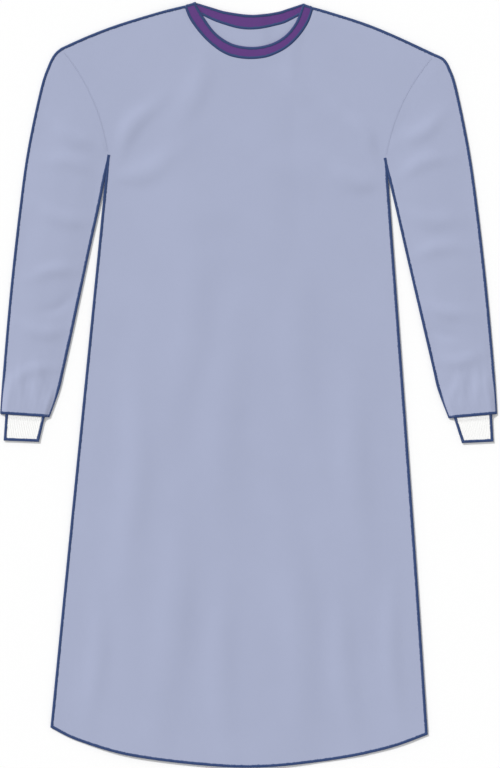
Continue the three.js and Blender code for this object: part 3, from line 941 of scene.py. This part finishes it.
def mottle_group():
    """Uneven fibres: a shade near 1 and a height."""
    numbers = {"Fibre size": 0.002, "Contrast": 0.04}
    tree, given, wanted = node_group("Uneven fibres", numbers, ("Shade", "Height"))
    place = scaled(tree, given["Vector"], given["Fibre size"])
    broad = scaled(tree, given["Vector"], 0.09)
    fine = add(tree, "ShaderNodeTexNoise", {"Vector": place, "Scale": 1.0, "Detail": 4.0, "Roughness": 0.65})
    cloud = add(tree, "ShaderNodeTexNoise", {"Vector": broad, "Scale": 1.0, "Detail": 2.0})
    both = maths(tree, "ADD", fine.outputs["Fac"], cloud.outputs["Fac"])
    shade = maths(tree, "MULTIPLY_ADD", maths(tree, "SUBTRACT", both, 1.0), given["Contrast"], 1.0)
    fill_in(tree, wanted, {"Shade": shade, "Height": fine.outputs["Fac"]})
    return tree


def bonded_points_group():
    """The small pressed points that bond a non-woven cloth, in a diamond lattice."""
    tree, given, wanted = node_group("Bonded points", {"Spacing": 0.002, "Size": 0.28}, ("Mask", "Height"))
    do = partial(maths, tree)
    split = add(tree, "ShaderNodeSeparateXYZ", {0: scaled(tree, given["Vector"], given["Spacing"])}).outputs
    squares = []
    for slant in ("ADD", "SUBTRACT"):
        diagonal = do(slant, split["X"], split["Y"])
        part = do("SUBTRACT", do("FRACT", do("ADD", diagonal, WHOLE_TURNS)), 0.5)
        squares.append(do("MULTIPLY", part, part))
    distance = do("SQRT", do("ADD", *squares))
    outer = do("ADD", given["Size"], 0.12)
    mask = add(
        tree, "ShaderNodeMapRange",
        {"Value": distance, "From Min": outer, "From Max": given["Size"], "To Min": 0.0, "To Max": 1.0},
        interpolation_type="SMOOTHSTEP",
    ).outputs[0]
    fill_in(tree, wanted, {"Mask": mask, "Height": do("SUBTRACT", 1.0, mask)})
    return tree


def woven_group():
    """A plain weave of fine threads."""
    tree, given, wanted = node_group("Plain weave", {"Thread": 0.0008}, ("Height", "Shade"))
    do = partial(maths, tree)
    split = add(tree, "ShaderNodeSeparateXYZ", {0: scaled(tree, given["Vector"], given["Thread"])}).outputs
    waves = [do("SINE", do("MULTIPLY", split[axis], math.pi)) for axis in ("X", "Y")]
    product = do("MULTIPLY", *waves)
    shade = do("MULTIPLY_ADD", product, 0.05, 0.98)
    fill_in(tree, wanted, {"Height": do("ABSOLUTE", product), "Shade": shade})
    return tree


def knit_group():
    """Rows of knit stitches, each a pair of slanting loops. Its Shade output is painted shade: darker between
    the loops, where they are low, lighter on their tops.
    """
    numbers = {"Stitch width": 0.0015, "Stitch height": 0.0012}
    tree, given, wanted = node_group("Knit loops", numbers, ("Height", "Shade"))
    do = partial(maths, tree)
    split = add(tree, "ShaderNodeSeparateXYZ", {0: given["Vector"]}).outputs
    stitches = do("DIVIDE", split["X"], given["Stitch width"])
    across = do("FRACT", do("ADD", stitches, WHOLE_TURNS))
    lean = do("MULTIPLY", do("ABSOLUTE", do("SUBTRACT", across, 0.5)), 1.6)
    rows = do("ADD", do("DIVIDE", split["Y"], given["Stitch height"]), lean)
    loop = do("MULTIPLY_ADD", do("SINE", do("MULTIPLY", rows, 2 * math.pi)), 0.5, 0.5)
    column = do("SINE", do("MULTIPLY", across, math.pi))
    height = do("MULTIPLY", loop, column)
    # Painted shade: the colour follows the loops' height, darker in the hollows between them
    fill_in(tree, wanted, {"Height": height, "Shade": do("MULTIPLY_ADD", height, 0.05, 0.97)})
    return tree


def effect(tree, name, build, vector, **values):
    """A shared effect placed in a material, with its own values."""
    made = tree.nodes.new("ShaderNodeGroup")
    made.node_tree = bpy.data.node_groups.get(name) or build()
    named = {key.replace("_", " ").capitalize(): value for key, value in values.items()}
    fill_in(tree, made.inputs, {"Vector": vector, **named})
    return made.outputs


def new_material(name, roughness, sheen=0.0, specular=0.3):
    """A material with its tree and its Principled shader."""
    made = bpy.data.materials.new(name)
    made.use_nodes = True
    tree = made.node_tree
    shader = tree.nodes["Principled BSDF"]
    own = {
        "Roughness": roughness, "Sheen Weight": sheen, "Sheen Roughness": 0.5, "Specular IOR Level": specular,
    }
    fill_in(tree, shader.inputs, own)
    return made, tree, shader


def object_place(tree, turn=0.0):
    """The place on the object, turned about the vertical."""
    place = tree.nodes.new("ShaderNodeTexCoord").outputs["Object"]
    return add(tree, "ShaderNodeMapping", {"Vector": place, "Rotation": (0, 0, turn)}).outputs[0]


def coloured(tree, shader, colour, *shades):
    """Gives a material its colour times each of the shades."""
    total = shades[0]
    for shade in shades[1:]:
        total = maths(tree, "MULTIPLY", total, shade)
    tint = add(tree, "ShaderNodeCombineXYZ", {0: total, 1: total, 2: total}).outputs[0]
    result = add(tree, "ShaderNodeVectorMath", {0: tint, 1: tuple(colour)}, operation="MULTIPLY")
    tree.links.new(result.outputs[0], shader.inputs["Base Color"])


def bump(tree, shader, height, distance):
    made = add(tree, "ShaderNodeBump", {"Height": height, "Distance": distance, "Strength": 1.0})
    tree.links.new(made.outputs[0], shader.inputs["Normal"])


def cloth_material(name, turn):
    """Matt non-woven cloth: bonded points pressed into uneven fibres."""
    made, tree, shader = new_material(name, 0.82, sheen=0.1, specular=0.2)
    place = object_place(tree, turn)
    fibres = effect(tree, "Uneven fibres", mottle_group, place, fibre_size=0.0016, contrast=0.05)
    points = effect(tree, "Bonded points", bonded_points_group, place, spacing=0.0026, size=0.2)
    dark = maths(tree, "MULTIPLY_ADD", points["Mask"], -0.06, 1.0)
    coloured(tree, shader, colours().cloth, fibres["Shade"], dark)
    rough = maths(tree, "MULTIPLY_ADD", points["Mask"], -0.15, 0.85)
    tree.links.new(rough, shader.inputs["Roughness"])
    height = maths(tree, "MULTIPLY_ADD", fibres["Height"], 0.5, points["Height"])
    bump(tree, shader, height, 0.00012)
    return made


def band_material(name):
    """Purple woven binding tape."""
    made, tree, shader = new_material(name, 0.7, sheen=0.15, specular=0.25)
    place = object_place(tree, math.pi / 4)
    weave = effect(tree, "Plain weave", woven_group, place, thread=0.0007)
    fibres = effect(tree, "Uneven fibres", mottle_group, place, fibre_size=0.0012, contrast=0.12)
    coloured(tree, shader, colours().band, weave["Shade"], fibres["Shade"])
    bump(tree, shader, weave["Height"], 0.00015)
    return made


def knit_material(name, turn):
    """White cotton rib knit, with painted shade between its loops."""
    made, tree, shader = new_material(name, 0.9, sheen=0.2, specular=0.2)
    place = object_place(tree, turn)
    loops = effect(tree, "Knit loops", knit_group, place, stitch_width=0.00145, stitch_height=0.0013)
    fibres = effect(tree, "Uneven fibres", mottle_group, place, fibre_size=0.001, contrast=0.06)
    # The loops' Shade is painted shade, darker between the loops; the fibres' Shade is uneven tone
    coloured(tree, shader, colours().cuff, loops["Shade"], fibres["Shade"])
    bump(tree, shader, loops["Height"], 0.0002)
    return made


def thread_material(name, colour):
    """Soft twisted sewing thread."""
    made, tree, shader = new_material(name, 0.6, sheen=0.1, specular=0.3)
    place = object_place(tree, math.pi / 5)
    fibres = effect(tree, "Uneven fibres", mottle_group, place, fibre_size=0.0005, contrast=0.25)
    coloured(tree, shader, colour, fibres["Shade"])
    bump(tree, shader, fibres["Height"], 0.0001)
    return made


def floor_material():
    """A plain pale floor, very slightly uneven."""
    made, tree, shader = new_material("Pale floor", 0.8, specular=0.1)
    fibres = effect(tree, "Uneven fibres", mottle_group, object_place(tree), fibre_size=0.01, contrast=0.004)
    coloured(tree, shader, colours().floor, fibres["Shade"])
    return made


def finish_cloth(obj, node, material):
    """Gives a piece of cloth its material, and hides the solid that it stands in for."""
    obj.data.materials.append(material)
    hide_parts(node)


def shared_material(name, build, *values):
    return bpy.data.materials.get(name) or build(name, *values)


def navy():
    return shared_material("Dark blue thread", thread_material, colours().thread)


def tonal():
    return shared_material("Cloth blue thread", thread_material, [0.8 * c for c in colours().cloth])


class GOWN_OT_backs(bpy.types.Operator):
    """Makes the two back panels, the left one lying on the right one"""

    bl_idname = "gown.backs"
    bl_label = "Backs"

    def execute(self, context):
        self.back("right", 0, OUTER_BACK_EDGE, np.zeros_like, "end", ["floor"])
        self.back("left", INNER_BACK_EDGE, COLUMNS, inner_back_base, "start", ["right_back_cloth", "floor"])
        return {"FINISHED"}

    def back(self, side, first, last, base, free_edge, rests_on):
        """One back with stitching under its hem and its centre-back edge."""
        cloth = shared_material("Blue cloth", cloth_material, 0.0)
        obj, grid, *_ = panel(
            f"{side}_back_cloth", BACK_NECK_SEAM, first, last, base, BACK_CREASES, detail=0.5, under=True
        )
        below = grid - np.array([0, 0, cloth_mm()])
        profile = under_profile(edge_mm())
        runs = [(*edge_of(below, edge), profile, DOWN) for edge in ("low", free_edge)]
        thread = thread_object(f"{side}_back_edge_thread", runs, navy(), high=UNDER_THREAD_HIGH)
        finish_cloth(obj, f"back_{side}", cloth)


class GOWN_OT_front(bpy.types.Operator):
    """Makes the front panel with its creases, and the stitching of shoulders, sides and hem"""

    bl_idname = "gown.front"
    bl_label = "Front"

    def execute(self, context):
        cloth = shared_material("Blue cloth", cloth_material, 0.0)
        front, grid, columns, rows = panel(
            "front_cloth", FRONT_NECK_SEAM, 0, COLUMNS, front_base, FRONT_CREASES, loft=FRONT_LOFT,
            swaying=BODY_SWAY,
        )
        sides = rows <= SIDE_ROWS
        right_shoulder = edge_of(grid, "high", columns <= SHOULDER_COLUMNS)
        left_shoulder = edge_of(grid, "high", columns >= SHOULDER_COLUMNS + NECK_COLUMNS)
        sewn = wrapped_profile(edge_mm(), LAYER + WALL - GAP)
        free = wrapped_profile(edge_mm(), WALL)
        runs = [
            (*edge_of(grid, "start", sides), sewn, UP, -MERGE_LENGTH),
            (*edge_of(grid, "end", sides), sewn, UP, -MERGE_LENGTH),
            (*edge_of(grid, "low"), free),
            (*carried_on(*right_shoulder, after=SHOULDER_OVERRUN), sewn),
            (*carried_on(*left_shoulder, before=SHOULDER_OVERRUN), sewn),
        ]
        edge = thread_object("front_edge_thread", runs, navy())
        finish_cloth(front, "front", cloth)
        return {"FINISHED"}


class GOWN_OT_sleeves(bpy.types.Operator):
    """Makes the two sleeves, each folded along its outer edge, with their stitching"""

    bl_idname = "gown.sleeves"
    bl_label = "Sleeves"

    def execute(self, context):
        self.sleeve("right", RIGHT, RIGHT_SLEEVE_CREASES)
        self.sleeve("left", LEFT, LEFT_SLEEVE_CREASES)
        return {"FINISHED"}

    def sleeve(self, side, half, lines):
        obj, upper, fold = sleeve(f"{side}_sleeve_cloth", half, lines)
        run = upper[-1, -1] - upper[-1, 0]
        turn = math.atan2(run[0], -run[1])
        cloth = shared_material(f"Blue cloth of the {side} sleeve", cloth_material, -turn)
        width = edge_mm()
        runs = [
            (*edge_of(upper, "start"), wrapped_profile(width, LAYER + WALL - GAP), UP, MERGE_LENGTH),
            (fold, inward_from(fold, upper[-8]), fold_profile(width, FOLD_HEIGHT)),
            (*edge_of(upper, "high"), wrapped_profile(width, WALL)),
        ]
        edge = thread_object(f"{side}_sleeve_edge_thread", runs, navy())
        armhole_line, into = edge_of(upper, "low")
        line = (armhole_line + into * ARMHOLE_STITCH_IN)[2:-2]
        seam = running_stitches(f"{side}_armhole_thread", line, tonal())
        finish_cloth(obj, f"sleeve_{side}", cloth)


class GOWN_OT_cuffs(bpy.types.Operator):
    """Makes the two rib knit cuffs with the stitching along their sides and ends"""

    bl_idname = "gown.cuffs"
    bl_label = "Cuffs"

    def execute(self, context):
        self.cuff("right", RIGHT)
        self.cuff("left", LEFT)
        return {"FINISHED"}

    def cuff(self, side, half):
        obj = cuff(f"{side}_cuff_knit", half)
        along = np.linspace(CUFF_EDGE_FROM, cuff_length(half), CUFF_EDGE_POINTS)
        start, stop = cuff_sides(half, along)
        z = cuff_base(along) + 2 * CUFF_HALF
        middle = (start + stop) / 2
        back = middle[-1] - middle[0]
        share = np.linspace(0, 1, CUFF_EDGE_POINTS)[:, None]
        end = lift(start[-1] + (stop[-1] - start[-1]) * share, z[-1])
        end_inward = np.broadcast_to(lift(-back, 0.0), end.shape)
        side_profile = fold_profile(edge_mm(), CUFF_HALF)
        lines = [lift(start, z), lift(stop, z)]
        runs = [(line, inward_from(line, middle), side_profile) for line in lines]
        runs.append((end, end_inward, wrapped_profile(edge_mm(), CUFF_HALF)))
        edge = thread_object(f"{side}_cuff_edge_thread", runs, navy())
        turn = -math.atan2(back[0], -back[1])
        knit = shared_material(f"White knit of the {side} cuff", knit_material, turn)
        finish_cloth(obj, f"cuff_{side}", knit)


class GOWN_OT_neckband(bpy.types.Operator):
    """Makes the purple neckband with the stitching along both of its edges"""

    bl_idname = "gown.neckband"
    bl_label = "Neckband"

    def execute(self, context):
        obj, seam, free, normal, (outer_back, front, back), folds = neckband("neckband_tape")
        half = WALL / 2
        crown = sizes().band_crown / MM
        thinner = BAND_THINNER * half
        round_top = lambda share: np.sqrt(np.clip(1 - (1 - share) ** 2, 0, 1))
        domed = lambda d: (thinner + crown) * round_top(d / BAND_HALF_WIDTH)
        inside = lambda d: thinner * round_top(d / BAND_HALF_WIDTH)
        runs = []
        for stretch, side, rise in ((front, 1, domed), (back, -1, inside), (outer_back, -1, inside)):
            facing = normal[stretch] * side
            for edge, other in ((seam, free), (free, seam)):
                line = edge[stretch] + facing * (half - thinner)
                runs.append((line, other[stretch] - edge[stretch], flat_profile(edge_mm(), rise), facing))
        for middle, upper in folds:
            outward = normal[middle]
            share = np.linspace(0, 1, BAND_FOLD_POINTS)
            across = (free[middle] - seam[middle]) * share[:, None]
            line = seam[middle] + across + outward * half * BAND_FOLD_OUT
            over_fold = round_top(2 * share) * (thinner + BAND_FOLD_CROWN * crown)
            line[:, 2] = seam[upper, 2] + half - thinner + over_fold
            radius = line[0, 2] - seam[middle, 2]
            runs.append((line, np.broadcast_to(-outward, line.shape), fold_profile(edge_mm(), radius)))
        thread = thread_object("neckband_edge_thread", runs, navy())
        tape = shared_material("Purple tape", band_material)
        finish_cloth(obj, "neckband", tape)
        return {"FINISHED"}


class GOWN_OT_stage(bpy.types.Operator):
    """Makes the floor, the lights and the camera that looks straight down"""

    bl_idname = "gown.stage"
    bl_label = "Stage"

    def execute(self, context):
        scene = context.scene
        put = lambda name, data: bpy.data.objects.new(name, data)
        mesh = bpy.data.meshes.new("floor")
        square = ((-1, -1), (1, -1), (1, 1), (-1, 1))
        corners = [(x * FLOOR_REACH, y * FLOOR_REACH, FLOOR_Z) for x, y in square]
        mesh.from_pydata(corners, [], [(0, 1, 2, 3)])
        mesh.materials.append(floor_material())
        floor = put("floor", mesh)
        sun = put("sun", bpy.data.lights.new("sun", "SUN"))
        sun.data.energy = SUN_STRENGTH
        sun.data.angle = math.radians(SUN_WIDTH)
        sun.rotation_euler = Vector(SUN_FROM).to_track_quat("Z", "Y").to_euler()
        camera = put("camera", bpy.data.cameras.new("camera"))
        camera.data.sensor_width = SENSOR_WIDTH
        camera.data.lens = SENSOR_WIDTH * CAMERA_AT[2] / SHOWN_HEIGHT
        camera.data.clip_end = 50
        camera.location = CAMERA_AT
        for obj in (floor, sun, camera):
            scene.collection.objects.link(obj)
        scene.camera = camera
        world = bpy.data.worlds.new("Soft white room")
        world.use_nodes = True
        background = world.node_tree.nodes["Background"].inputs
        background["Color"].default_value = (1, 1, 1, 1)
        background["Strength"].default_value = ROOM_STRENGTH
        scene.world = world
        scene.view_settings.view_transform = "Standard"
        scene.view_settings.look = "None"
        return {"FINISHED"}


class GOWN_PT_panel(bpy.types.Panel):
    """Sizes, colours and pieces of the gown"""

    bl_idname = "GOWN_PT_panel"
    bl_label = "Surgical gown"
    bl_space_type = "VIEW_3D"
    bl_region_type = "UI"
    bl_category = "Gown"

    def draw(self, context):
        layout = self.layout
        for group in (context.scene.gown_sizes, context.scene.gown_colours):
            box = layout.box()
            for name in group.__annotations__:
                box.prop(group, name)
        for operator in OPERATORS:
            layout.operator(operator.bl_idname)


OPERATORS = (GOWN_OT_backs, GOWN_OT_front, GOWN_OT_sleeves, GOWN_OT_cuffs, GOWN_OT_neckband, GOWN_OT_stage)
CLASSES = (GownSizes, GownColours, *OPERATORS, GOWN_PT_panel)


def register():
    for made in CLASSES:
        bpy.utils.register_class(made)
    bpy.types.Scene.gown_sizes = PointerProperty(type=GownSizes)
    bpy.types.Scene.gown_colours = PointerProperty(type=GownColours)


def unregister():
    del bpy.types.Scene.gown_colours
    del bpy.types.Scene.gown_sizes
    for made in reversed(CLASSES):
        bpy.utils.unregister_class(made)


def main():
    register()
    bpy.ops.gown.backs()
    bpy.ops.gown.front()
    bpy.ops.gown.sleeves()
    bpy.ops.gown.cuffs()
    bpy.ops.gown.neckband()
    bpy.ops.gown.stage()


if __name__ == "__main__":
    main()
